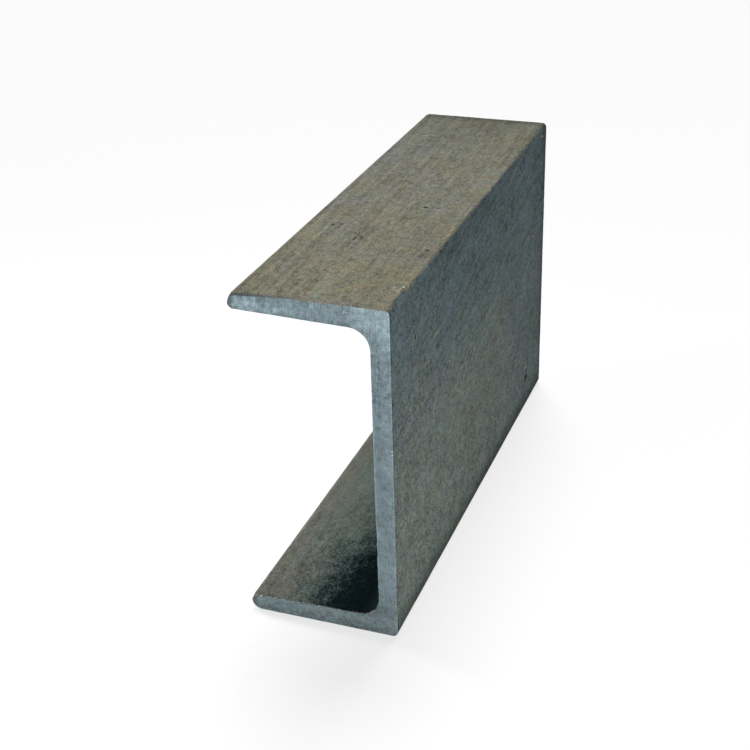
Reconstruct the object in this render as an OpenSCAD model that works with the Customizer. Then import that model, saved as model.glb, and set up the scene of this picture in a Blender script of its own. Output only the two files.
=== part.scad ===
// Hot-rolled steel channel, one short cut length.
// It stands on its lower flange: +Z is up, the length runs along Y, the back of the web
// faces +X and the open side faces -X. The origin is under the middle of the part.

/* [Section] */
// Depth over both flanges
depth = 100; // [60:1:200]
// Width of each flange, from the back of the web to the toe
flange_w = 44.5; // [32:0.5:90]
// Thickness of the web
web_t = 5.5; // [3:0.1:10]
// Thickness of the flanges, at half of their width
flange_t = 5.6; // [4:0.1:10]
// Taper of the flanges' inner faces, in percent
flange_taper = 3; // [0:0.5:8]

/* [Rounding] */
// Fillet between the web and each flange
root_r = 5.8; // [2:0.1:10]
// Outer corner where the web meets each flange
heel_r = 1.5; // [0.5:0.1:3]
// Corner of the toe on the outer side of the flange
toe_outer_r = 2.9; // [0.5:0.1:4]
// Corner of the toe on the inner side of the flange
toe_inner_r = 1.8; // [0.5:0.1:4]

/* [Length] */
// Length between the two saw cuts
length = 160; // [60:1:600]

/* [Hidden] */
$fn = 96;

// How far a cut reaches past what it cuts
overlap = 0.5;

back_x = flange_w / 2;
toe_x = -flange_w / 2;
web_x = back_x - web_t;
slope = flange_taper / 100;

// A flange's thickness at x, thinner towards the toe
function flange_at(x) = flange_t + slope * x;

// The toe's two corners share its edge, so a thin toe limits both in proportion
toe_t = flange_at(toe_x);
toe_share = min(1, toe_t / (toe_outer_r + toe_inner_r));

// Unit vector from point a to point b
function towards(a, b) = (b - a) / norm(b - a);

// The sliver between a sharp corner at p and an arc of radius r that touches both of its
// sides, which run from p towards a and towards b. It reaches a little past both sides, so
// that it cuts cleanly.
module corner_sliver(p, a, b, r) {
    along_a = towards(p, a);
    along_b = towards(p, b);
    half_angle = acos(along_a * along_b) / 2;
    reach = r / tan(half_angle);
    centre = p + towards([0, 0], along_a + along_b) * r / sin(half_angle);
    past = 1 + overlap / r;
    difference() {
        polygon([
            for (q = [centre, p + along_a * reach, p, p + along_b * reach])
                centre + (q - centre) * past
        ]);
        translate(centre) circle(r);
    }
}

// What is drawn for the lower flange, and its mirror image for the upper one
module both_flanges() {
    children();
    translate([0, depth]) mirror([0, 1]) children();
}

// The open side of the section, wider at the toes and rounded where it meets the web
module trough() {
    mouth_x = toe_x - overlap;
    low_mouth = [mouth_x, flange_at(mouth_x)];
    low_root = [web_x, flange_at(web_x)];
    high_root = [web_x, depth - low_root[1]];
    high_mouth = [mouth_x, depth - low_mouth[1]];
    difference() {
        polygon([low_mouth, low_root, high_root, high_mouth]);
        both_flanges() corner_sliver(low_root, low_mouth, high_root, root_r);
    }
}

// The section: web and two tapered flanges, with rounded heels and toes
module section() {
    heel = [back_x, 0];
    toe_bottom = [toe_x, 0];
    toe_top = [toe_x, toe_t];
    root = [web_x, flange_at(web_x)];
    difference() {
        translate([toe_x, 0]) square([flange_w, depth]);
        trough();
        both_flanges() {
            corner_sliver(heel, toe_bottom, [back_x, depth], heel_r);
            corner_sliver(toe_bottom, toe_top, heel, toe_outer_r * toe_share);
            corner_sliver(toe_top, toe_bottom, root, toe_inner_r * toe_share);
        }
    }
}

// The channel: one rolled piece, sawn square at both ends
module channel() {
    color("slategray")
        rotate([90, 0, 0])
            linear_extrude(length, center = true)
                section();
}

channel();
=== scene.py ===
"""Looks for a short saw-cut length of hot-rolled steel channel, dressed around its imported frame."""

import logging
import math
from dataclasses import dataclass, field
from enum import Enum
from typing import Any, Callable, List, Mapping, Optional, Sequence, Tuple, Union

import bmesh
import bpy
from mathutils import Matrix, Vector


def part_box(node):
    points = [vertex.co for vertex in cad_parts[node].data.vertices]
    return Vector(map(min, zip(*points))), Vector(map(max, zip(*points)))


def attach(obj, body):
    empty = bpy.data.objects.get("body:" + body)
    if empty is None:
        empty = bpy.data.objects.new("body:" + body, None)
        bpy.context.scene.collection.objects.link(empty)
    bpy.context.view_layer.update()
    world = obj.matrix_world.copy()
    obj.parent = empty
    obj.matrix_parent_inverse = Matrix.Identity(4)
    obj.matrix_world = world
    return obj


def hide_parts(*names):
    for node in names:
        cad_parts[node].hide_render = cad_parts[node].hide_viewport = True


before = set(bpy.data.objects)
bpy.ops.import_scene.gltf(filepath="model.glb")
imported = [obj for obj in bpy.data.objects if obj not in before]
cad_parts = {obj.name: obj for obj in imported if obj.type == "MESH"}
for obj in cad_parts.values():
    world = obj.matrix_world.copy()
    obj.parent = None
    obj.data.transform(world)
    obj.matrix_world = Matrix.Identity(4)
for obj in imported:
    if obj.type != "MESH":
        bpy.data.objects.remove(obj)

log = logging.getLogger("channel")

# one millimetre, the slack between lengths that count as equal, and a length too small to see, in metres
MM = 0.001
SLACK = 1e-5
HAIR = 1e-6

# places on the piece that the marks and finishes name, in millimetres
TOP = 100.0
BACK = 22.25
NEAR_CUT = -80.0

Colour = Tuple[float, float, float]
Place = Tuple[float, float, float]
Spots = Tuple[Tuple[float, float, float], ...]
Number = Union[float, "Value"]
Socket = bpy.types.NodeSocket


class Part(Enum):
    """What a pick on the bench selects."""

    VERT = "verts"
    EDGE = "edges"
    FACE = "faces"


class Push(Enum):
    """The way in which a relief moves the surface."""

    OUT = "NORMAL"
    ALONG = "Y"
    UP = "Z"


class Skin(Enum):
    """The material slots of the channel's mesh, in order."""

    ROLLED = 0
    SAWN = 1
    PITTED = 2
    BARE = 3
    # painted highlights: near-white flecks that stand in for sparkles
    GLINT = 4


class Value:
    """A number that varies over a surface: one shader socket with Python's operators."""

    def __init__(self, graph: "Graph", socket: Socket) -> None:
        """Wrap a socket of a graph's node."""
        self.graph = graph
        self.socket = socket

    def __add__(self, other: Number) -> "Value":
        """Sum with a value or a number."""
        return self.graph.math("ADD", self, other)

    __radd__ = __add__

    def __sub__(self, other: Number) -> "Value":
        """Difference, as in mask - 0.5."""
        return self.graph.math("SUBTRACT", self, other)

    def __rsub__(self, other: Number) -> "Value":
        """Difference from a number, as in 1 - mask."""
        return self.graph.math("SUBTRACT", other, self)

    def __mul__(self, other: Number) -> "Value":
        """Product with a value or a number."""
        return self.graph.math("MULTIPLY", self, other)

    def __abs__(self) -> "Value":
        """Size without its sign."""
        return self.graph.math("ABSOLUTE", self)


class Graph:
    """The node tree of one material or world, and the few nodes that the finishes are made of."""

    def __init__(self, owner: Union[bpy.types.Material, bpy.types.World]) -> None:
        """Start an empty tree.

        Args:
            owner: The material or world whose nodes are written.
        """
        owner.use_nodes = True
        self.tree = owner.node_tree
        self.tree.nodes.clear()

    def node(
        self,
        kind: str,
        settings: Optional[Mapping[str, Any]] = None,
        inputs: Optional[Mapping[Union[str, int], Any]] = None,
    ) -> bpy.types.Node:
        """Add one node.

        Args:
            kind: The node's type name.
            settings: Its properties, set before its sockets.
            inputs: Values or links for its sockets, by name or number.

        Returns:
            The new node.
        """
        made = self.tree.nodes.new(kind)
        for name, value in (settings or {}).items():
            setattr(made, name, value)
        for name, value in (inputs or {}).items():
            socket = made.inputs[name]
            if isinstance(value, Value):
                value = value.socket
            if isinstance(value, bpy.types.NodeSocket):
                self.tree.links.new(value, socket)
            else:
                socket.default_value = value
        return made

    def math(self, operation: str, first: Number, second: Number = 0.0) -> Value:
        """Add a Math node and wrap its result."""
        made = self.node("ShaderNodeMath", {"operation": operation}, {0: first, 1: second})
        return Value(self, made.outputs[0])

    def larger(self, first: Number, second: Number) -> Value:
        """The larger of two values."""
        return self.math("MAXIMUM", first, second)

    def smooth(self, value: Value, low: float, high: float) -> Value:
        """A soft step: 0 below low, 1 above high. With low above high it falls instead."""
        made = self.node(
            "ShaderNodeMapRange",
            {"interpolation_type": "SMOOTHSTEP"},
            {"Value": value, "From Min": low, "From Max": high},
        )
        return Value(self, made.outputs[0])

    def band(self, value: Value, low: float, high: float, soft: float) -> Value:
        """1 between low and high, falling to 0 over the soft width outside them."""
        return self.smooth(value, low - soft, low) * self.smooth(value, high + soft, high)

    def mix(self, factor: Number, first: Any, second: Any, blend: str = "MIX") -> Socket:
        """Blend two colours.

        Args:
            factor: How much of the second colour shows.
            first: A colour or a colour socket.
            second: A colour or a colour socket.
            blend: The way of blending.

        Returns:
            The blended colour's socket.
        """
        full = [(*c, 1.0) if isinstance(c, tuple) else c for c in (first, second)]
        made = self.node(
            "ShaderNodeMix",
            {"data_type": "RGBA", "blend_type": blend, "clamp_factor": True},
            {0: factor, 6: full[0], 7: full[1]},
        )
        return made.outputs[2]

    def shade(self, colour: Any, tone: Value) -> Socket:
        """Lighten or darken a colour by a tone, with 1 as it is."""
        grey = self.node("ShaderNodeCombineColor", None, {0: tone, 1: tone, 2: tone})
        return self.mix(1.0, colour, grey.outputs[0], "MULTIPLY")

    def stretch(self, vector: Socket, scales: Place) -> Socket:
        """Scale a place along each axis."""
        made = self.node("ShaderNodeVectorMath", {"operation": "MULTIPLY"}, {0: vector, 1: scales})
        return made.outputs[0]

    def joined(self, x: Number, y: Number, z: Number) -> Socket:
        """A place made of three values."""
        return self.node("ShaderNodeCombineXYZ", None, {0: x, 1: y, 2: z}).outputs[0]

    def cloudy(self, vector: Socket, scale: float, detail: float, rough: float) -> bpy.types.Node:
        """Add a noise node, with scale in waves per unit of the vector."""
        return self.node(
            "ShaderNodeTexNoise",
            {"noise_dimensions": "3D"},
            {"Vector": vector, "Scale": scale, "Detail": detail, "Roughness": rough},
        )

    def noise(self, vector: Socket, scale: float, detail: float = 3.0, rough: float = 0.55) -> Value:
        """Cloudy noise around 0.5."""
        return Value(self, self.cloudy(vector, scale, detail, rough).outputs[0])

    def tints(self, vector: Socket, scale: float, detail: float) -> Socket:
        """Speckles of changing hue around middle grey, to be overlaid on a colour."""
        return self.cloudy(vector, scale, detail, 0.6).outputs[1]

    def place(self) -> Tuple[Socket, Value, Value, Value]:
        """The place on the piece in millimetres: the vector and its three values."""
        coords = self.node("ShaderNodeTexCoord")
        spot = self.stretch(coords.outputs["Object"], (1000.0, 1000.0, 1000.0))
        axes = self.node("ShaderNodeSeparateXYZ", None, {0: spot})
        return (spot, *(Value(self, axes.outputs[i]) for i in range(3)))

    def away(self, vector: Socket, spot: Place) -> Value:
        """How far the place is from a spot."""
        made = self.node("ShaderNodeVectorMath", {"operation": "DISTANCE"}, {0: vector, 1: spot})
        return Value(self, made.outputs["Value"])

    def shown(self) -> Value:
        """1 for what is seen, mirrored or looked at through glass, and 0 where it only lights."""
        path = self.node("ShaderNodeLightPath")
        looks = ("Is Camera Ray", "Is Glossy Ray", "Is Transmission Ray")
        seen = [Value(self, path.outputs[name]) for name in looks]
        return self.math("MINIMUM", seen[0] + seen[1] + seen[2], 1.0)

    def surface(
        self, fixed: Mapping[str, Any], varying: Mapping[str, Any], height: Value, depth: float
    ) -> None:
        """End the graph in a principled shader.

        Args:
            fixed: Sockets that are the same all over.
            varying: Base Color, Roughness and Metallic where they change over the surface.
            height: Relief for the bump, from 0 to 1.
            depth: The relief's depth in metres.
        """
        bump = self.node("ShaderNodeBump", None, {"Strength": 1.0, "Distance": depth, "Height": height})
        sockets = {**fixed, **varying, "Normal": bump.outputs[0]}
        shader = self.node("ShaderNodeBsdfPrincipled", None, sockets)
        self.node("ShaderNodeOutputMaterial", None, {"Surface": shader.outputs[0]})


class RolledGraph(Graph):
    """The node tree of the rolled skin, with the noises and zones that all steps of its finish share."""

    def __init__(self, owner: bpy.types.Material) -> None:
        """Start the tree and add the shared nodes.

        Args:
            owner: The rolled skin's material.
        """
        super().__init__(owner)
        self.spot, self.x, self.y, self.z = self.place()
        x, y, z = self.x, self.y, self.z

        # noises from broad to fine, most of them drawn out along the length
        back = self.math("GREATER_THAN", x, 21.5)
        self.drawn = self.joined(x * 0.8, y * (0.50 + back * 0.12), z * 0.8)
        self.cloud = self.noise(self.spot, 1 / 34.0, 2.0)
        self.patch = self.noise(self.drawn, 1 / 8.0, 3.0, 0.6)
        self.mottle = self.noise(self.drawn, 1 / 2.6, 4.0, 0.65)
        self.grain = self.noise(self.drawn, 1 / 0.9, 3.0, 0.7)
        self.fine = self.noise(self.spot, 1 / 0.5, 2.0, 0.7)
        self.streak = self.noise(self.stretch(self.spot, (1.0, 0.06, 1.0)), 1 / 1.4, 3.0, 0.6)
        self.scour = self.noise(self.joined(x, y * 0.10, z - y * 0.19), 1 / 2.2, 3.0, 0.65)

        # the uneven line of the heel, with a bump and a step near the cut
        worn = self.band(y + (self.patch - 0.5) * 4.0, -64.8, -63.2, 1.2) * self.smooth(z, 98.4, 99.0)
        step = self.smooth(y, -65.0, -66.2) * self.smooth(y, -80.0, -72.0)
        self.heel = x + (self.mottle - 0.5) * 0.3 - worn * 0.4 + step * 0.42

        # the web's back, both its faces, the inner faces of the flanges and their roots
        self.web_back = self.smooth(self.heel, 21.65, 21.92)
        web_inside = self.smooth(x + (self.mottle - 0.5) * 3.0, 12.0, 15.0)
        self.on_web = self.larger(self.web_back, web_inside * self.band(z, 7.0, 93.0, 2.0))
        self.inner = self.band(z, 4.4, 95.6, 1.0) * self.smooth(x, 19.5, 18.0)
        self.root = self.inner * (self.smooth(z, 17.0, 9.0) + self.smooth(z, 83.0, 91.0))

        # rust specks on the outside of the flanges
        specks = self.noise(self.drawn, 1 / 1.6, 2.0, 0.6) + (self.patch - 0.5) * 0.5 - y * 0.0006
        self.rusty = self.smooth(specks, 0.60, 0.74) * (1 - self.on_web) * (1 - self.inner) * 0.4

        # how far the root grime and painted shade reach out of the roots, most at the near cut, where the
        # trough lies in shadow
        reach = x - (self.grain - 0.5) * 18.0 - (self.fine - 0.5) * 18.0 - (self.mottle - 0.5) * 14.0
        self.reach = reach - self.smooth(y, -66.0, -30.0) * 8.0 + self.smooth(y, -62.0, -80.0) * 0.9
        self.root_grime_and_shade = self.root * self.smooth(self.reach, -9.0, 4.5)


@dataclass(frozen=True)
class RolledSkin:
    """Worn mill scale: brown-grey on the flanges, slate on the web, with rust, grime and roll lines, and
    painted light and shade on the web, in the roots and at the far end.
    """

    flange: Colour = (0.178, 0.176, 0.132)
    flange_cool: Colour = (0.184, 0.190, 0.170)
    flange_brown: Colour = (0.168, 0.148, 0.088)
    inside: Colour = (0.105, 0.109, 0.093)
    # the web's colours carry painted light: darker high up in shade, lighter at the foot from the floor
    web_high_in_shade: Colour = (0.063, 0.085, 0.091)
    web_low_floor_lit: Colour = (0.114, 0.133, 0.120)
    web_far_floor_lit: Colour = (0.108, 0.134, 0.134)
    rust: Colour = (0.150, 0.098, 0.050)
    # painted light in the roots, and painted shade around the root grime
    light_veil: Colour = (0.106, 0.130, 0.116)
    shade_haze: Colour = (0.072, 0.104, 0.102)
    # dark dirt, which also serves as painted shade in the roots, at the far end and at the web's foot
    dirt_and_shade: Colour = (0.0018, 0.0078, 0.0115)
    # painted shade on the rolled lip at the near cut
    lip_shade: Colour = (0.090, 0.105, 0.115)
    seam: Colour = (0.070, 0.058, 0.055)
    oxide: Colour = (0.020, 0.031, 0.020)
    roughness: float = 0.72
    specular: float = 0.02
    relief: float = 0.12 * MM
    stains: Spots = (
        (-3.0, -72.8, 1.6),
        (-1.3, -73.2, 1.2),
        (6.9, -69.9, 1.5),
        (8.2, -67.6, 1.2),
        (-7.3, 27.5, 1.2),
        (-8.0, 32.4, 1.4),
        (-5.5, 11.4, 1.1),
        (-4.0, 4.3, 1.0),
        (-12.5, -61.0, 1.3),
        (1.5, -52.0, 1.2),
        (-5.2, 23.0, 1.7),
        (-2.4, 28.2, 1.3),
    )

    def ground(self, skin: RolledGraph) -> Socket:
        """Lay the clean colours: brown flanges, cooler inside, and slate on both faces of the web, with
        painted shade high on the web and painted floor light at its foot.

        Args:
            skin: The tree with the shared noises and zones.

        Returns:
            The colour's socket.
        """
        cool = skin.cloud + skin.patch * 0.5 + (skin.y * 0.26 - skin.x) * 0.0022
        cool = skin.smooth(cool, 0.63, 0.89) * (1 - skin.smooth(skin.y, 25.0, 60.0) * 0.55)
        brown = skin.patch * 0.5 + skin.mottle * 0.6 - skin.y * 0.0006 + skin.x * 0.001
        flange = skin.mix(cool, self.flange, self.flange_cool)
        flange = skin.mix(skin.smooth(brown, 0.53, 0.80) * 0.7, flange, self.flange_brown)
        flange = skin.mix(skin.inner, flange, self.inside)
        # painted light: the web darker high up, where it is in shade, and lighter towards its foot, where
        # the floor lights it
        low = skin.z + skin.y * 0.05 + (skin.cloud - 0.5) * 60.0 + (skin.patch - 0.5) * 40.0
        foot = skin.mix(skin.smooth(skin.y, 15.0, 65.0), self.web_low_floor_lit, self.web_far_floor_lit)
        web = skin.mix(skin.smooth(low, 95.0, 30.0), self.web_high_in_shade, foot)
        seam = skin.band(skin.heel, 21.45, 21.7, 0.2) * skin.smooth(skin.z, 90.0, 98.0) * 0.5
        return skin.mix(seam, skin.mix(skin.on_web, flange, web), self.seam)

    def rusted(self, skin: RolledGraph, base: Socket) -> Socket:
        """Add rust specks and spots, a faint line along the top, and dark dots.

        Args:
            skin: The tree with the shared noises and zones.
            base: The colour so far.

        Returns:
            The colour's socket.
        """
        line = skin.band(skin.x + (skin.mottle - 0.5) * 0.8, -3.8, -3.2, 0.4)
        line = line * skin.smooth(skin.z, 97.0, 98.5) * skin.smooth(skin.y, -72.0, -60.0)
        rust = skin.larger(skin.rusty, line * 0.13)
        for stain_x, stain_y, size in self.stains:
            gap = skin.away(skin.spot, (stain_x, stain_y, TOP)) + (skin.mottle - 0.5) * 4.0
            rust = skin.larger(rust, skin.smooth(gap, size, 0.3 * size) * 0.55)
        base = skin.mix(rust, base, self.rust)
        dots = skin.smooth(skin.noise(skin.drawn, 1 / 1.0, 2.0, 0.5), 0.66, 0.76)
        return skin.mix(dots * (0.55 - skin.inner * 0.45), base, self.dirt_and_shade)

    def soiled_and_shaded(self, skin: RolledGraph, base: Socket) -> Socket:
        """Add grime with painted shade in the roots, painted light on part of them, painted shade at the
        far end and along the web's foot, a pit's oxide and painted shade on the lip at the near cut.

        Args:
            skin: The tree with the shared noises and zones.
            base: The colour so far.

        Returns:
            The colour's socket.
        """
        x, y, z = skin.x, skin.y, skin.z
        # painted light: the roots lighter and cooler between x -13 and -4, away from the near cut
        light_veil = skin.root * skin.band(x, -13.0, -4.0, 6.0) * skin.smooth(y, -66.0, -48.0)
        base = skin.mix(light_veil * 0.7, base, self.light_veil)
        # painted shade: a darker, cooler band where the root grime and its painted shade begin
        base = skin.mix(skin.root * skin.smooth(skin.reach, -15.0, -2.0) * 0.8, base, self.shade_haze)
        # painted shade: darker towards the far end and at the web's foot by the floor, mixed in with the
        # root grime and its painted shade
        foot = skin.web_back * skin.smooth(z, 8.0, 1.0) * 0.55
        rim = skin.larger(skin.smooth(y, 73.0, 80.0) * 0.4, foot)
        base = skin.mix(skin.larger(skin.root_grime_and_shade * 0.985, rim), base, self.dirt_and_shade)
        pit = skin.away(skin.stretch(skin.spot, (1.0, 0.55, 1.0)), (BACK, 32.4, 12.3))
        pit = pit + (skin.mottle - 0.5) * 2.4 + (skin.grain - 0.5) * 1.4
        base = skin.mix(skin.smooth(pit, 1.9, 0.8) * 0.85, base, self.oxide)
        # painted shade on the rolled-down lip of the near cut's top edge, towards the toe
        lip = skin.smooth(y, -78.8, -79.5) * skin.smooth(z, 97.5, 98.2)
        lip = lip * skin.smooth(x + (skin.mottle - 0.5) * 8.0, -4.0, -8.0)
        return skin.mix(lip * 0.75, base, self.lip_shade)

    def tone(self, skin: RolledGraph) -> Value:
        """Work out how light the skin is: its grain and roll lines, times broad zones of painted light and
        shade.

        Args:
            skin: The tree with the shared noises and zones.

        Returns:
            The tone, 1 on average.
        """
        x, y, z = skin.x, skin.y, skin.z
        on_web, back, inner = skin.on_web, skin.web_back, skin.inner
        wander = (skin.mottle - 0.5) * (0.95 + on_web * 0.2) + (skin.grain - 0.5) * (1.5 + on_web * 0.3)
        wander = wander + (skin.patch - 0.5) * (0.4 + on_web * 0.3)
        wander = wander + (skin.streak - 0.5) * (1.0 - on_web * 0.8)
        wander = wander + (skin.scour - 0.5) * back * skin.smooth(z, 35.0, 85.0) * 1.3
        wander = wander + (skin.fine - 0.5) * (1.8 + on_web * 0.4 + inner * 0.6 + skin.root_grime_and_shade * 2.0)
        wander = wander * (1 - inner * skin.smooth(y, -55.0, -20.0) * 0.4)

        # painted shade: darker towards the far end, and on the web more so near its foot
        painted_light_fade = 1.07 + on_web * 0.02 - y * 0.0010 - skin.smooth(y, 35.0, 80.0) * 0.12
        painted_light_fade = painted_light_fade - (y + 70.0) * on_web * (0.0008 + skin.smooth(z, 60.0, 10.0) * 0.0009)
        painted_light_fade = painted_light_fade + back * skin.smooth(y, 25.0, 60.0) * skin.smooth(z, 35.0, 75.0) * 0.12

        # darker along the cut, painted shade under the heel, and painted floor light in a band above the
        # web's foot
        painted_light_fade = painted_light_fade - back * skin.smooth(y, -78.2, -79.6) * 0.2
        brow = skin.band(y, -46.0, 4.0, 14.0) * 0.2 + skin.smooth(y, -55.0, -70.0) * 0.08
        painted_light_fade = painted_light_fade - back * skin.smooth(z, 90.0, 95.0) * brow
        painted_light_fade = painted_light_fade + back * skin.band(z, 11.0, 20.0, 6.0) * 0.1

        # the top is a little darker towards the heel, and painted shade along the toe, most near the cut
        painted_light_fade = painted_light_fade - (1 - on_web) * skin.smooth(x, 4.0, 12.0) * skin.smooth(y, 10.0, -20.0) * 0.05
        toe = (1 - inner) * skin.smooth(x, -17.5, -20.5)
        painted_light_fade = painted_light_fade - toe * (0.05 + skin.smooth(y, -62.0, -76.0) * 0.15)
        return (1.0 + wander) * painted_light_fade

    def material(self) -> bpy.types.Material:
        """Write the finish as a node material.

        Returns:
            The material of all rolled faces.
        """
        made = bpy.data.materials.new("rolled_skin")
        skin = RolledGraph(made)
        base = self.soiled_and_shaded(skin, self.rusted(skin, self.ground(skin)))
        base = skin.shade(base, self.tone(skin))
        base = skin.mix(0.3 + skin.on_web * 0.2, base, skin.tints(skin.spot, 1 / 0.7, 2.0), "OVERLAY")
        base = skin.mix(0.07 + skin.on_web * 0.06, base, skin.tints(skin.drawn, 1 / 3.5, 2.0), "OVERLAY")
        roughness = self.roughness + (skin.mottle - 0.5) * 0.2 + skin.rusty * 0.15
        height = skin.grain * 0.4 + skin.fine * 0.3 + skin.mottle * 0.3 + skin.streak * 0.3
        fixed = {"Metallic": 0.0, "Specular IOR Level": self.specular}
        skin.surface(fixed, {"Base Color": base, "Roughness": roughness}, height, self.relief)
        return made


class SawnGraph(Graph):
    """The node tree of the cut ends, with the noises and zones that all steps of their finish share."""

    def __init__(self, owner: bpy.types.Material) -> None:
        """Start the tree and add the shared nodes.

        Args:
            owner: The cut ends' material.
        """
        super().__init__(owner)
        self.spot, self.x, self.y, self.z = self.place()
        self.cloud = self.noise(self.spot, 1 / 6.0, 3.0)
        self.mottle = self.noise(self.spot, 1 / 1.3, 4.0, 0.7)
        self.fine = self.noise(self.spot, 1 / 0.4, 2.0, 0.6)
        self.lines = self.noise(self.stretch(self.spot, (2.4, 1.0, 0.22)), 1.0, 3.0, 0.6)

        # the upper and the lower flange, the bright inner edge of the web and the broken edges
        self.upper = self.smooth(self.z, 84.0, 95.0)
        self.lower = self.smooth(self.z, 12.0, 5.0)
        self.keen = self.band(self.x, 16.2, 17.2, 0.4) * self.band(self.z, 13.0, 72.0, 4.0)
        self.broken = self.smooth(abs(self.y), 79.96, 79.80) * self.smooth(self.x, 21.7, 21.2)


@dataclass(frozen=True)
class SawnSteel:
    """Bare steel of the saw cuts: light blue-grey, blotched, with fine upright saw lines."""

    plain: Colour = (0.188, 0.249, 0.274)
    dull: Colour = (0.180, 0.242, 0.254)
    stain: Colour = (0.10, 0.098, 0.080)
    edge: Colour = (0.050, 0.052, 0.050)
    bits: Colour = (0.34, 0.33, 0.23)
    roughness: float = 0.45
    metallic: float = 0.75
    relief: float = 0.06 * MM
    spots: Spots = (
        (18.9, 57.4, 0.5),
        (20.6, 55.6, 0.5),
        (17.9, 19.8, 0.6),
        (21.0, 11.1, 0.6),
        (19.4, 84.0, 0.4),
        (18.6, 66.5, 0.5),
        (19.2, 45.5, 0.6),
        (-6.5, 3.6, 0.7),
        (3.0, 2.8, 0.6),
        (-14.0, 3.4, 0.6),
    )
    flecks: Spots = (
        (-16.0, 97.2, 0.9),
        (-14.7, 97.0, 1.3),
        (-13.6, 96.6, 1.1),
        (-8.6, 96.7, 0.9),
        (-7.4, 96.5, 1.0),
        (10.3, 98.4, 1.0),
        (1.5, 98.6, 0.9),
        (19.4, 95.4, 0.9),
    )

    def pale(self, cut: SawnGraph) -> Value:
        """Find the pale blotches and flecks of the upper flange.

        Args:
            cut: The tree with the shared noises and zones.

        Returns:
            1 where the steel is palest.
        """
        pale = cut.cloud * 0.5 + cut.lines * 0.3 + cut.mottle * 0.8 - abs(cut.x + 12.0) * 0.005
        pale = pale + cut.band(cut.x, -17.0, -9.0, 4.0) * cut.band(cut.z, 95.4, 97.2, 1.0) * 0.1
        pale = cut.smooth(pale, 0.80, 1.04) * cut.smooth(cut.z, 60.0, 96.0)
        for fleck_x, fleck_z, size in self.flecks:
            gap = cut.away(cut.spot, (fleck_x, NEAR_CUT, fleck_z)) - (cut.mottle - 0.5) * 3.0
            pale = cut.larger(pale, cut.smooth(gap, size, 0.2 * size))
        return pale

    def tone(self, cut: SawnGraph) -> Value:
        """Work out how light the cut is: blotches and saw lines, paler above and duller below, with painted
        shade on the upper flange's lower side and crown and, in part, at the foot.

        Args:
            cut: The tree with the shared noises and zones.

        Returns:
            The tone, about 1 on the web.
        """
        x, z, lower = cut.x, cut.z, cut.lower
        tip = cut.smooth(x, 3.0, -8.0) * cut.upper
        crisp = 1.0 + cut.smooth(z, 62.0, 84.0) * (0.4 + cut.smooth(x, 2.0, 12.0) * 0.6)
        wander = (cut.mottle - 0.5) * (1.4 + tip * 0.2 + lower * 0.4)
        wander = wander + (cut.lines - 0.5) * (0.9 - lower * 0.7)
        wander = wander + (cut.fine - 0.5) * (0.8 + tip * 0.3 + lower * 0.8)
        wander = wander * crisp + (cut.cloud - 0.5) * (0.8 + tip * 0.2)

        # the upper flange, with painted shade on its lower side and along its crown, and the web's outer
        # and inner edges
        bloom = 0.40 - cut.band(x, -3.0, 9.0, 4.0) * 0.18 + cut.smooth(x, 11.0, 15.0) * 0.26
        under = cut.smooth(z + x * 0.03, 96.0, 94.6) * cut.smooth(z, 80.0, 90.0)
        crown = cut.smooth(z, 97.6, 98.6) * cut.smooth(x, -5.0, -10.0)
        outer = cut.smooth(x, 18.6, 20.8) * cut.smooth(z, 30.0, 75.0)
        tone = 1.0 + wander + cut.upper * bloom - crown * 0.2 + outer * 0.2 + cut.keen * 0.22
        tone = tone - under * (0.3 - cut.smooth(x, 0.0, 6.0) * 0.15)

        # slanting scores across the web, and the lower flange, darker along its upper side and, in part as
        # painted shade, at its foot
        slant = cut.joined(x * 0.8 + z * 1.4, x * 0.13 - z * 0.075, 0.0)
        scores = cut.smooth(cut.noise(slant, 1.0, 2.0), 0.56, 0.72) * cut.band(z, 38.5, 47.0, 2.0)
        sill = cut.smooth(z - x * 0.03, 4.7, 5.5) * cut.smooth(z, 12.0, 8.0)
        tone = tone + scores * 0.45 - sill * 0.26
        tone = tone + cut.smooth(z, 45.0, 15.0) * 0.09 - cut.smooth(z, 5.4, 0.4) * 0.28
        return tone + self.pale(cut) * 0.5

    def stained(self, cut: SawnGraph, base: Socket) -> Socket:
        """Add brown dots, scattered ones and those at their own places.

        Args:
            cut: The tree with the shared noises and zones.
            base: The colour so far.

        Returns:
            The colour's socket.
        """
        dots = cut.noise(cut.spot, 1 / 0.9, 2.0, 0.5) - cut.z * 0.0006 + cut.lower * 0.02
        dots = cut.smooth(dots, 0.60, 0.70) * 0.6
        for spot_x, spot_z, size in self.spots:
            gap = cut.away(cut.spot, (spot_x, NEAR_CUT, spot_z)) + (cut.mottle - 0.5) * 1.2
            dots = cut.larger(dots, cut.smooth(gap, size, 0.3 * size) * 0.32)
        return cut.mix(dots, base, self.stain)

    def edged(self, cut: SawnGraph, base: Socket) -> Socket:
        """Dull and darken the broken edges, most along the top and the lower flange, where the extra
        darkening is painted shade of the rounded arris, and at the toes, and add pale bits to the ragged
        ones.

        Args:
            cut: The tree with the shared noises and zones.
            base: The colour so far.

        Returns:
            The colour's socket.
        """
        toes = cut.smooth(cut.x + (cut.mottle - 0.5) * 2.0, -20.0, -21.0)
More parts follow.
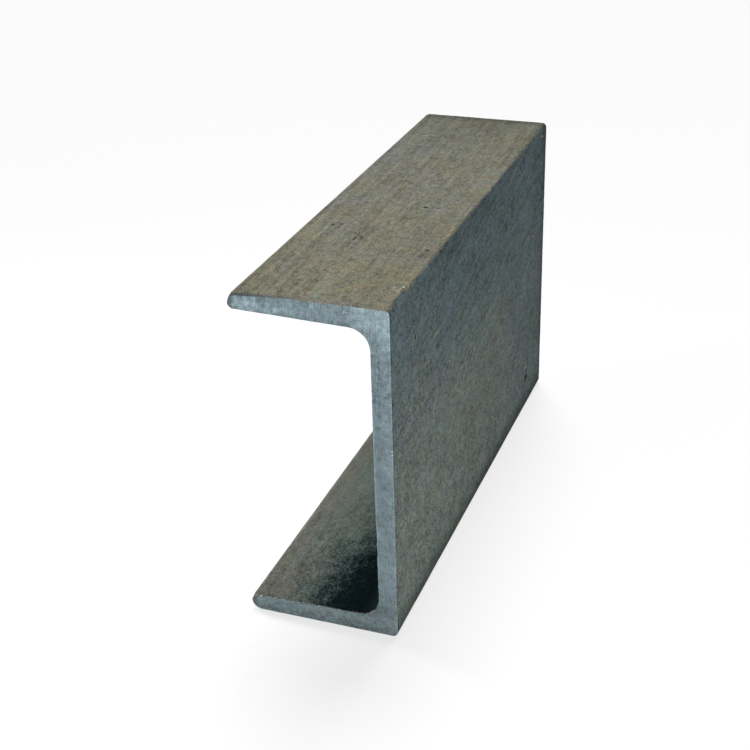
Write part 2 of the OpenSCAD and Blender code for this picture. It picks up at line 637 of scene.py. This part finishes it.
        # painted shade: extra darkening of the top edge and the lower flange's edges
        worn = 0.6 + cut.smooth(cut.z, 97.5, 98.5) * 0.3 + cut.lower * 0.4
        worn = cut.broken * worn * (1 - cut.keen * 0.8)
        base = cut.mix(cut.larger(worn, toes * 0.55), base, self.edge)
        crest = cut.smooth(cut.z, 98.4, 99.0) * cut.smooth(cut.x, -9.0, -3.0)
        ragged = cut.larger(crest, cut.band(cut.z, 4.0, 38.0, 2.0) * (1 - cut.lower * 0.5))
        bits = cut.smooth(cut.noise(cut.spot, 1 / 0.7, 2.0), 0.52, 0.62)
        return cut.mix(cut.broken * ragged * bits, base, self.bits)

    def material(self) -> bpy.types.Material:
        """Write the finish as a node material.

        Returns:
            The material of both cut ends.
        """
        made = bpy.data.materials.new("sawn_steel")
        cut = SawnGraph(made)
        base = cut.shade(cut.mix(cut.lower * 0.7, self.plain, self.dull), self.tone(cut))
        base = cut.mix(0.2, base, cut.tints(cut.spot, 1 / 1.0, 2.0), "OVERLAY")
        varying = {
            "Base Color": self.edged(cut, self.stained(cut, base)),
            "Roughness": self.roughness + (cut.mottle - 0.5) * 0.25,
            "Metallic": self.metallic - cut.broken * self.metallic,
        }
        cut.surface({}, varying, cut.lines * 0.6 + cut.mottle * 0.4, self.relief)
        return made


@dataclass(frozen=True)
class PitOxide:
    """The dark oxide in pits and nicks."""

    colour: Colour = (0.016, 0.025, 0.016)
    pale: float = 2.2
    roughness: float = 0.7
    specular: float = 0.05
    relief: float = 0.05 * MM

    def material(self) -> bpy.types.Material:
        """Write the finish as a node material.

        Returns:
            The material of the pits' walls.
        """
        made = bpy.data.materials.new("pit_oxide")
        graph = Graph(made)
        mottle = graph.noise(graph.place()[0], 1 / 0.6, 3.0)
        base = graph.mix(mottle, self.colour, tuple(c * self.pale for c in self.colour))
        varying = {"Base Color": base, "Roughness": self.roughness + mottle * 0.2}
        graph.surface({"Metallic": 0.0, "Specular IOR Level": self.specular}, varying, mottle, self.relief)
        return made


@dataclass(frozen=True)
class BareScratch:
    """Fresh bright steel where something has scraped through the scale. Its near-white copy without metal
    is painted highlight, flecks that stand in for sparkles.
    """

    name: str = "bare_scratch"
    colour: Colour = (0.30, 0.285, 0.23)
    metallic: float = 0.3
    dark: float = 0.6
    roughness: float = 0.4
    relief: float = 0.04 * MM

    def material(self) -> bpy.types.Material:
        """Write the finish as a node material.

        Returns:
            The material of scratches and flecks, and of the painted highlights.
        """
        made = bpy.data.materials.new(self.name)
        graph = Graph(made)
        mottle = graph.noise(graph.place()[0], 1 / 0.5, 3.0)
        base = graph.mix(mottle, self.colour, tuple(c * self.dark for c in self.colour))
        varying = {"Base Color": base, "Roughness": self.roughness + mottle * 0.2}
        graph.surface({"Metallic": self.metallic}, varying, mottle, self.relief)
        return made


class Bench:
    """One mesh on the bench: an edit-mode session in which parts are picked by place."""

    def __init__(self, obj: bpy.types.Object) -> None:
        """Take the mesh object to work on."""
        self.obj = obj

    def __enter__(self) -> "Bench":
        """Select only this object and enter edit mode."""
        bpy.ops.object.select_all(action="DESELECT")
        self.obj.select_set(True)
        bpy.context.view_layer.objects.active = self.obj
        bpy.ops.object.mode_set(mode="EDIT")
        return self

    def __exit__(self, *_: object) -> None:
        """Leave edit mode."""
        bpy.ops.object.mode_set(mode="OBJECT")

    def parts(self, part: Part) -> Sequence[Any]:
        """The mesh's present vertices, edges or faces."""
        return getattr(bmesh.from_edit_mesh(self.obj.data), part.value)

    def pick(self, part: Part, test: Callable[[Any], bool]) -> None:
        """Select the parts that pass a test, and nothing else.

        Args:
            part: Vertices, edges or faces.
            test: Says of one part whether it is picked.
        """
        bpy.ops.mesh.select_mode(type=part.name)
        bpy.ops.mesh.select_all(action="DESELECT")
        chosen = [p for p in self.parts(part) if test(p)]
        for p in chosen:
            p.select_set(True)
        bmesh.update_edit_mesh(self.obj.data)


def near(a: float, b: float, slack: float = SLACK) -> bool:
    """Whether two lengths agree."""
    return abs(a - b) < slack


def share(value: float) -> float:
    """Hold a share between 0 and 1."""
    return min(1.0, max(0.0, value))


def middle(edge: Any) -> Vector:
    """The middle of an edge."""
    return (edge.verts[0].co + edge.verts[1].co) / 2


def lengthwise(edge: Any) -> bool:
    """Whether an edge runs along the channel."""
    run = edge.verts[1].co - edge.verts[0].co
    return abs(run.y) > 0.999 * run.length


@dataclass(frozen=True)
class Mark:
    """One pit, nick or scratch: its place and the half sizes of its tool, in millimetres."""

    place: Place
    size: Place
    skin: Skin = Skin.PITTED


@dataclass(frozen=True)
class Relief:
    """One unevenness of the surface, from a cloud texture, or an even push where it has no grain.

    The grain is the size of the clouds, the depth is how far the surface moves between black and white,
    and the level is the grey that leaves it where it is.
    """

    name: str
    grain: float
    depth: float
    level: float
    push: Push

    def apply(self, obj: bpy.types.Object, group: str) -> None:
        """Move an object's surface.

        Args:
            obj: The mesh object.
            group: The vertex group that moves.
        """
        clouds = None
        if self.grain:
            clouds = bpy.data.textures.new(self.name, "CLOUDS")
            clouds.noise_scale = self.grain
            clouds.noise_depth = 2
        bpy.context.view_layer.objects.active = obj
        bpy.ops.object.modifier_add(type="DISPLACE")
        made = obj.modifiers[-1]
        made.texture = clouds
        made.texture_coords = "LOCAL"
        made.direction = self.push.value
        made.strength = self.depth
        made.mid_level = self.level
        made.vertex_group = group
        bpy.ops.object.modifier_apply(modifier=made.name)


@dataclass
class Channel:
    """The rolled channel: one piece, with a web, two tapered flanges and two saw cuts."""

    low: Vector
    high: Vector
    web: float = 5.5 * MM
    flange: float = 5.6 * MM
    taper: float = 0.03
    root_round: float = 5.8 * MM
    heel_round: float = 1.5 * MM
    toe_outer_round: float = 2.9 * MM
    toe_inner_round: float = 1.8 * MM
    root_segments: int = 9
    heel_segments: int = 5
    toe_outer_segments: int = 7
    toe_inner_segments: int = 5
    arris: float = 0.3 * MM
    arris_steps: Tuple[Tuple[float, float], ...] = ((0.3, 0.7), (0.7, 0.3), (1.2, 0.0))
    clear: float = 0.0002 * MM
    coarse_cell: float = 20.0 * MM
    cell: float = 0.5 * MM
    slices: Tuple[int, int] = (8, 13)
    torn_foot: float = 3.5 * MM
    torn_share: float = 0.35
    worn_from: float = -7.0 * MM
    worn_run: float = 11.0 * MM
    worn_back: float = 2.0 * MM
    worn_height: float = 4.0 * MM
    worn_fade: float = 3.0 * MM
    tool_lumps: float = 0.16
    sharp_angle: float = 38.0
    cut_band: float = 1.4
    rim_band: float = 1.1
    waves: Relief = Relief("roll_waves", 9.0 * MM, 0.08 * MM, 1.0, Push.OUT)
    lumps: Relief = Relief("scale_lumps", 2.2 * MM, 0.04 * MM, 1.0, Push.OUT)
    burr: Relief = Relief("saw_burr", 0.9 * MM, 0.5 * MM, 0.5, Push.ALONG)
    tear: Relief = Relief("torn_edge", 0.9 * MM, 0.9 * MM, 0.7, Push.OUT)
    wear: Relief = Relief("worn_toe", 0.0, -0.85 * MM, 0.0, Push.UP)
    # the GLINT marks are painted highlights: near-white flecks for sparkles at the heel and on the near
    # cut's web edge
    marks: Tuple[Mark, ...] = (
        Mark((8.1, -8.9, TOP), (1.0, 0.35, 0.5)),
        Mark((11.9, -8.5, TOP), (0.4, 0.3, 0.3)),
        Mark((-3.2, -41.6, TOP), (0.13, 1.9, 0.15)),
        Mark((-3.25, -37.2, TOP), (0.22, 1.7, 0.24)),
        Mark((-3.3, -33.7, TOP), (0.16, 1.2, 0.19)),
        Mark((-13.0, -29.2, TOP), (0.6, 0.5, 0.15)),
        Mark((-10.6, -28.0, TOP), (0.5, 0.5, 0.15)),
        Mark((BACK, 58.5, 12.6), (0.4, 1.2, 0.6)),
        Mark((BACK, 60.3, 11.5), (0.3, 0.5, 0.4)),
        Mark((22.3, -78.9, 73.4), (0.45, 0.5, 0.5)),
        Mark((BACK, -42.2, 72.9), (0.15, 1.3, 0.6)),
        Mark((BACK, -60.6, 84.0), (0.12, 0.8, 0.9)),
        Mark((18.9, -39.8, TOP), (0.5, 0.45, 0.3)),
        Mark((18.5, -65.5, TOP), (0.34, 0.55, 0.22), Skin.BARE),
        Mark((20.7, -64.7, 99.95), (0.26, 0.42, 0.18), Skin.GLINT),
        Mark((19.7, -67.4, TOP), (0.25, 0.8, 0.17), Skin.BARE),
        Mark((20.3, -66.2, TOP), (0.3, 0.6, 0.17), Skin.BARE),
        Mark((20.5, -68.0, TOP), (0.25, 0.7, 0.17), Skin.BARE),
        Mark((20.9, -9.2, TOP), (0.16, 4.2, 0.2), Skin.BARE),
        Mark((20.8, -23.7, TOP), (0.16, 1.6, 0.2), Skin.BARE),
        Mark((21.7, 11.0, 99.62), (0.2, 0.9, 0.16), Skin.BARE),
        Mark((21.6, 18.9, 99.71), (0.16, 1.6, 0.14), Skin.BARE),
        Mark((-13.0, 55.6, TOP), (1.4, 0.38, 0.24), Skin.BARE),
        Mark((-11.0, 57.0, TOP), (1.1, 0.32, 0.22), Skin.BARE),
        Mark((22.1, -79.95, 60.0), (0.28, 0.25, 0.28), Skin.GLINT),
        Mark((22.1, -79.95, 59.0), (0.26, 0.25, 0.24), Skin.GLINT),
        Mark((22.0, NEAR_CUT, 31.0), (0.32, 0.2, 0.3), Skin.GLINT),
        Mark((BACK, -74.7, 34.4), (0.1, 0.5, 0.35), Skin.BARE),
        Mark((BACK, -73.0, 34.2), (0.1, 0.4, 0.3), Skin.BARE),
        Mark((BACK, -48.1, 79.9), (0.12, 0.4, 0.2), Skin.BARE),
        Mark((BACK, -61.2, 87.4), (0.1, 0.35, 0.15), Skin.BARE),
        Mark((BACK, -65.6, 95.9), (0.1, 0.4, 0.2), Skin.BARE),
        Mark((BACK, -11.5, 79.6), (0.1, 0.6, 0.12), Skin.BARE),
        Mark((BACK, 32.5, 86.0), (0.1, 0.6, 0.15), Skin.BARE),
        Mark((BACK, 65.3, 64.0), (0.1, 0.7, 0.3), Skin.BARE),
        Mark((BACK, 58.5, 16.4), (0.15, 1.0, 0.5), Skin.BARE),
        Mark((BACK, 74.3, 96.9), (0.15, 0.9, 0.35), Skin.BARE),
    )
    obj: bpy.types.Object = field(init=False)

    @property
    def web_x(self) -> float:
        """Where the inside of the web stands."""
        return self.high.x - self.web

    def inner(self, x: float) -> float:
        """A flange's thickness at x."""
        return self.flange + self.taper * x

    def rough_out(self) -> None:
        """Make the sharp-cornered section: a block for the web, with a flange drawn out at each end."""
        length = self.high.y - self.low.y
        depth = self.high.z
        bpy.ops.object.select_all(action="DESELECT")
        bpy.ops.mesh.primitive_cube_add(size=1.0, location=(self.high.x - self.web / 2, 0.0, depth / 2))
        self.obj = bpy.context.object
        self.obj.name = "channel_stock"
        self.obj.scale = (self.web, length - 2 * (self.arris + self.clear), depth)
        bpy.ops.object.transform_apply(location=True, rotation=True, scale=True)
        root_z = self.inner(self.web_x)
        reach = self.web_x - self.low.x
        drop = root_z - self.inner(self.low.x)
        with Bench(self.obj) as bench:
            for height in (root_z, depth - root_z):
                bpy.ops.mesh.select_all(action="SELECT")
                bpy.ops.mesh.bisect(plane_co=(0.0, 0.0, height), plane_no=(0.0, 0.0, 1.0))
            bench.pick(
                Part.FACE,
                lambda f: f.normal.x < -0.9 and abs(f.calc_center_median().z - depth / 2) > 0.4 * depth,
            )
            bpy.ops.mesh.extrude_region_move(TRANSFORM_OT_translate={"value": (-reach, 0.0, 0.0)})
            for height, lift in ((root_z, -drop), (depth - root_z, drop)):
                bench.pick(Part.VERT, lambda v: near(v.co.x, self.low.x) and near(v.co.z, height))
                bpy.ops.transform.translate(value=(0.0, 0.0, lift))
            bpy.ops.mesh.select_all(action="SELECT")
            bpy.ops.mesh.dissolve_limited(angle_limit=0.002)

    def round_corners(self) -> None:
        """Round the roots, heels and toes along the whole length."""
        depth = self.high.z
        lean = math.tan(math.pi / 4 - math.atan(self.taper) / 2)
        root_z = self.inner(self.web_x)
        toe_z = self.inner(self.low.x)
        corners = (
            (self.web_x, root_z, self.root_round * lean, self.root_segments),
            (self.high.x, 0.0, self.heel_round, self.heel_segments),
            (self.low.x, 0.0, self.toe_outer_round, self.toe_outer_segments),
            (self.low.x, toe_z, self.toe_inner_round * lean, self.toe_inner_segments),
        )
        with Bench(self.obj) as bench:
            for x, z, offset, segments in corners:
                bench.pick(
                    Part.EDGE,
                    lambda e: lengthwise(e)
                    and near(middle(e).x, x)
                    and (near(middle(e).z, z) or near(depth - middle(e).z, z)),
                )
                bpy.ops.mesh.bevel(
                    offset=offset,
                    offset_type="OFFSET",
                    segments=segments,
                    profile=0.5,
                    affect="EDGES",
                    clamp_overlap=False,
                )

    def divide(self) -> None:
        """Divide every rolled face finely for its relief, then close both cuts with a broken arris."""
        with Bench(self.obj) as bench:
            bench.pick(Part.FACE, lambda f: abs(f.normal.y) > 0.99)
            bpy.ops.mesh.delete(type="ONLY_FACE")
            for limit in (self.coarse_cell, self.cell):
                edges = [e for e in bench.parts(Part.EDGE) if not lengthwise(e)]
                spans = {round(e.calc_length(), 5) for e in edges}
                for span in sorted(s for s in spans if s > 1.5 * limit):
                    bench.pick(
                        Part.EDGE,
                        lambda e: not lengthwise(e) and near(e.calc_length(), span, 2 * SLACK),
                    )
                    bpy.ops.mesh.subdivide(number_cuts=max(1, round(span / limit) - 1))
            for pieces in self.slices:
                bench.pick(Part.EDGE, lengthwise)
                bpy.ops.mesh.subdivide(number_cuts=pieces - 1)
            for side in (-1, 1):
                bench.pick(Part.EDGE, lambda e: e.is_boundary and side * middle(e).y > 0)
                bpy.ops.mesh.edge_face_add()
                for across, out in self.arris_steps:
                    bpy.ops.mesh.inset(
                        thickness=across * self.arris, depth=out * self.arris, use_even_offset=True
                    )
            bpy.ops.mesh.select_all(action="SELECT")
            bpy.ops.mesh.normals_make_consistent(inside=False)

    def group(self, name: str, weight: Callable[[Vector], float]) -> str:
        """Weigh each vertex by its place.

        Args:
            name: The vertex group's name.
            weight: Gives a vertex's weight from 0 to 1.

        Returns:
            The group's name.
        """
        made = self.obj.vertex_groups.new(name=name)
        for v in self.obj.data.vertices:
            weighed = weight(v.co)
            if weighed > 0.0:
                made.add([v.index], weighed, "REPLACE")
        return name

    def on_skin(self, p: Vector) -> float:
        """The weight of the rolled skin: all but the flat of the cuts."""
        return float(abs(p.y) < self.high.y - HAIR)

    def on_rim(self, p: Vector) -> float:
        """The weight of the rim where the skin meets the cuts."""
        return float(near(abs(p.y), self.high.y - self.arris, 2 * SLACK))

    def on_torn_rim(self, p: Vector) -> float:
        """The weight of the torn edge of the cuts, low inside the trough."""
        inside = p.x < self.web_x + 0.2 * MM and self.torn_foot < p.z < self.torn_share * self.high.z
        rim = self.high.y - self.rim_band * self.arris
        return float(inside and rim < abs(p.y) < self.high.y - HAIR)

    def on_worn_toe(self, p: Vector) -> float:
        """The weight of the worn upper edge of the near cut, from its toe inwards."""
        along = share((self.worn_from - p.x) / self.worn_run)
        back = share((self.worn_back - (p.y - self.low.y)) / self.worn_back)
        top = share((p.z - self.high.z + self.worn_height) / self.worn_fade)
        return along * back * back * top

    def weather(self) -> None:
        """Give the rolled faces their slight waves and the cut edges their wear. Nothing leaves the box."""
        skin = self.group("skin", self.on_skin)
        self.waves.apply(self.obj, skin)
        self.lumps.apply(self.obj, skin)
        self.burr.apply(self.obj, self.group("rim", self.on_rim))
        self.tear.apply(self.obj, self.group("ragged", self.on_torn_rim))
        self.wear.apply(self.obj, self.group("worn", self.on_worn_toe))

    def dress(self) -> None:
        """Give the rolled faces, the cuts and the pits their finishes."""
        # the edge_glint finish is painted highlight: near-white flecks that stand in for sparkles
        glint = BareScratch(name="edge_glint", colour=(0.80, 0.84, 0.80), metallic=0.0)
        for finish in (RolledSkin(), SawnSteel(), PitOxide(), BareScratch(), glint):
            self.obj.data.materials.append(finish.material())
        line = self.high.y - self.cut_band * self.arris
        for face in self.obj.data.polygons:
            if abs(face.center.y) > line:
                face.material_index = Skin.SAWN.value

    def blunt_tool(self, mark: Mark, seed: int) -> bpy.types.Object:
        """Make the lumpy tool of one mark.

        Args:
            mark: The mark that it cuts.
            seed: The number that its lumps are drawn from.

        Returns:
            The tool, with the finish of the hollow that it leaves.
        """
        bpy.ops.object.select_all(action="DESELECT")
        bpy.ops.mesh.primitive_ico_sphere_add(subdivisions=3, radius=1.0)
        tool = bpy.context.object
        with Bench(tool):
            bpy.ops.mesh.select_all(action="SELECT")
            bpy.ops.transform.vertex_random(offset=self.tool_lumps, seed=seed)
        tool.location = Vector(mark.place) * MM
        tool.scale = Vector(mark.size) * MM
        tool.data.materials.append(self.obj.data.materials[mark.skin.value])
        return tool

    def nick(self) -> None:
        """Cut the pits, nicks and scratches with one set of small blunt tools, none of which touch."""
        tools = [self.blunt_tool(mark, seed) for seed, mark in enumerate(self.marks)]
        bpy.ops.object.select_all(action="DESELECT")
        for tool in tools:
            tool.select_set(True)
        bpy.context.view_layer.objects.active = tools[0]
        bpy.ops.object.join()
        cutter = bpy.context.object
        bpy.ops.object.transform_apply(location=True, rotation=True, scale=True)
        bpy.ops.object.select_all(action="DESELECT")
        self.obj.select_set(True)
        bpy.context.view_layer.objects.active = self.obj
        bpy.ops.object.modifier_add(type="BOOLEAN")
        made = self.obj.modifiers[-1]
        made.operation = "DIFFERENCE"
        made.solver = "EXACT"
        made.object = cutter
        made.material_mode = "TRANSFER"
        bpy.ops.object.modifier_apply(modifier=made.name)
        bpy.data.objects.remove(cutter)

    def build(self) -> bpy.types.Object:
        """Model, dress and finish the piece.

        Returns:
            The finished mesh object, standing for the CAD node.
        """
        self.rough_out()
        self.round_corners()
        self.divide()
        self.weather()
        self.dress()
        self.nick()
        bpy.ops.object.shade_smooth_by_angle(angle=math.radians(self.sharp_angle))
        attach(self.obj, "root")
        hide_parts("channel")
        return self.obj


@dataclass(frozen=True)
class Lamp:
    """One round lamp: its watts, and its width, place and aim in millimetres. A ball has no aim."""

    name: str
    power: float
    size: float
    stand: Place
    aim: Optional[Place] = None

    def hang(self) -> None:
        """Hang the lamp, hidden from the camera."""
        if self.aim is None:
            lamp = bpy.data.lights.new(self.name, "POINT")
            lamp.shadow_soft_size = self.size / 2 * MM
        else:
            lamp = bpy.data.lights.new(self.name, "AREA")
            lamp.shape = "DISK"
            lamp.size = self.size * MM
        lamp.energy = self.power
        hung = bpy.data.objects.new(self.name, lamp)
        hung.location = Vector(self.stand) * MM
        if self.aim is not None:
            hung.rotation_euler = (Vector(self.stand) - Vector(self.aim)).to_track_quat("Z", "Y").to_euler()
        hung.visible_camera = False
        bpy.context.scene.collection.objects.link(hung)


@dataclass
class Studio:
    """The plain pale floor, soft light and the photograph's camera."""

    focal_px: float = 1361.6
    frame_px: float = 750.0
    sensor_mm: float = 36.0
    stand: Place = (127.56, -363.64, 240.33)
    azimuth: float = 21.113
    elevation: float = 27.519
    roll: float = -1.886
    clip_start: float = 0.01
    ambient: float = 0.06
    key_strength: float = 3.0
    key_from: Place = (-0.096, 0.47, 1.0)
    key_spread: float = 29.0
    lamps: Tuple[Lamp, ...] = (
        Lamp("fill", 0.8, 250.0, (440.0, -170.0, 210.0), (22.0, -50.0, 50.0)),
        Lamp("trough", 0.64, 40.0, (-130.0, -30.0, 75.0)),
    )
    floor_width: float = 60.0
    floor_grey: float = 0.93
    shadow_lift: float = 0.72

    def lay_floor(self) -> None:
        """Lay the pale floor that keeps the shadow."""
        bpy.ops.object.select_all(action="DESELECT")
        bpy.ops.mesh.primitive_plane_add(size=self.floor_width, location=(0.0, 0.0, 0.0))
        floor = bpy.context.object
        floor.name = "floor"
        made = bpy.data.materials.new("pale_floor")
        graph = Graph(made)
        grey = (self.floor_grey, self.floor_grey, self.floor_grey, 1.0)
        lit = graph.node("ShaderNodeBsdfDiffuse", None, {"Color": grey, "Roughness": 0.0})
        white = graph.node("ShaderNodeEmission", None, {"Color": (1.0, 1.0, 1.0, 1.0), "Strength": 1.0})
        lift = graph.shown() * self.shadow_lift
        shader = graph.node("ShaderNodeMixShader", None, {0: lift, 1: lit.outputs[0], 2: white.outputs[0]})
        graph.node("ShaderNodeOutputMaterial", None, {"Surface": shader.outputs[0]})
        floor.data.materials.append(made)

    def light(self) -> None:
        """Set the even surround, the soft key above and behind the piece, and the two small lamps."""
        world = bpy.data.worlds.new("surround")
        bpy.context.scene.world = world
        graph = Graph(world)
        strength = self.ambient + graph.shown() * (1.0 - self.ambient)
        sockets = {"Color": (1.0, 1.0, 1.0, 1.0), "Strength": strength}
        back = graph.node("ShaderNodeBackground", None, sockets)
        graph.node("ShaderNodeOutputWorld", None, {"Surface": back.outputs[0]})
        sun = bpy.data.lights.new("key", "SUN")
        sun.energy = self.key_strength
        sun.angle = math.radians(self.key_spread)
        key = bpy.data.objects.new("key", sun)
        key.rotation_euler = Vector(self.key_from).to_track_quat("Z", "Y").to_euler()
        bpy.context.scene.collection.objects.link(key)
        for lamp in self.lamps:
            lamp.hang()

    def set_camera(self) -> None:
        """Stand the camera where the photograph was taken from."""
        lens = bpy.data.cameras.new("camera")
        lens.sensor_fit = "HORIZONTAL"
        lens.sensor_width = self.sensor_mm
        lens.lens = self.sensor_mm * self.focal_px / self.frame_px
        lens.clip_start = self.clip_start
        camera = bpy.data.objects.new("camera", lens)
        camera.matrix_world = (
            Matrix.Translation(Vector(self.stand) * MM)
            @ Matrix.Rotation(math.radians(self.azimuth), 4, "Z")
            @ Matrix.Rotation(math.radians(90.0 - self.elevation), 4, "X")
            @ Matrix.Rotation(math.radians(self.roll), 4, "Z")
        )
        bpy.context.scene.collection.objects.link(camera)
        bpy.context.scene.camera = camera

    def build(self) -> None:
        """Set up floor, light and camera."""
        bpy.context.scene.view_settings.view_transform = "Standard"
        self.lay_floor()
        self.light()
        self.set_camera()


def main() -> None:
    """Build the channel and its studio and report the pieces."""
    logging.basicConfig(level=logging.INFO, format="%(name)s: %(message)s")
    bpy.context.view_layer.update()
    low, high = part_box("channel")
    piece = Channel(low, high).build()
    log.info("%s: %d faces", piece.name, len(piece.data.polygons))
    Studio().build()
    log.info("studio: floor, surround, key, fill and trough lamps, and camera")


if __name__ == "__main__":
    main()
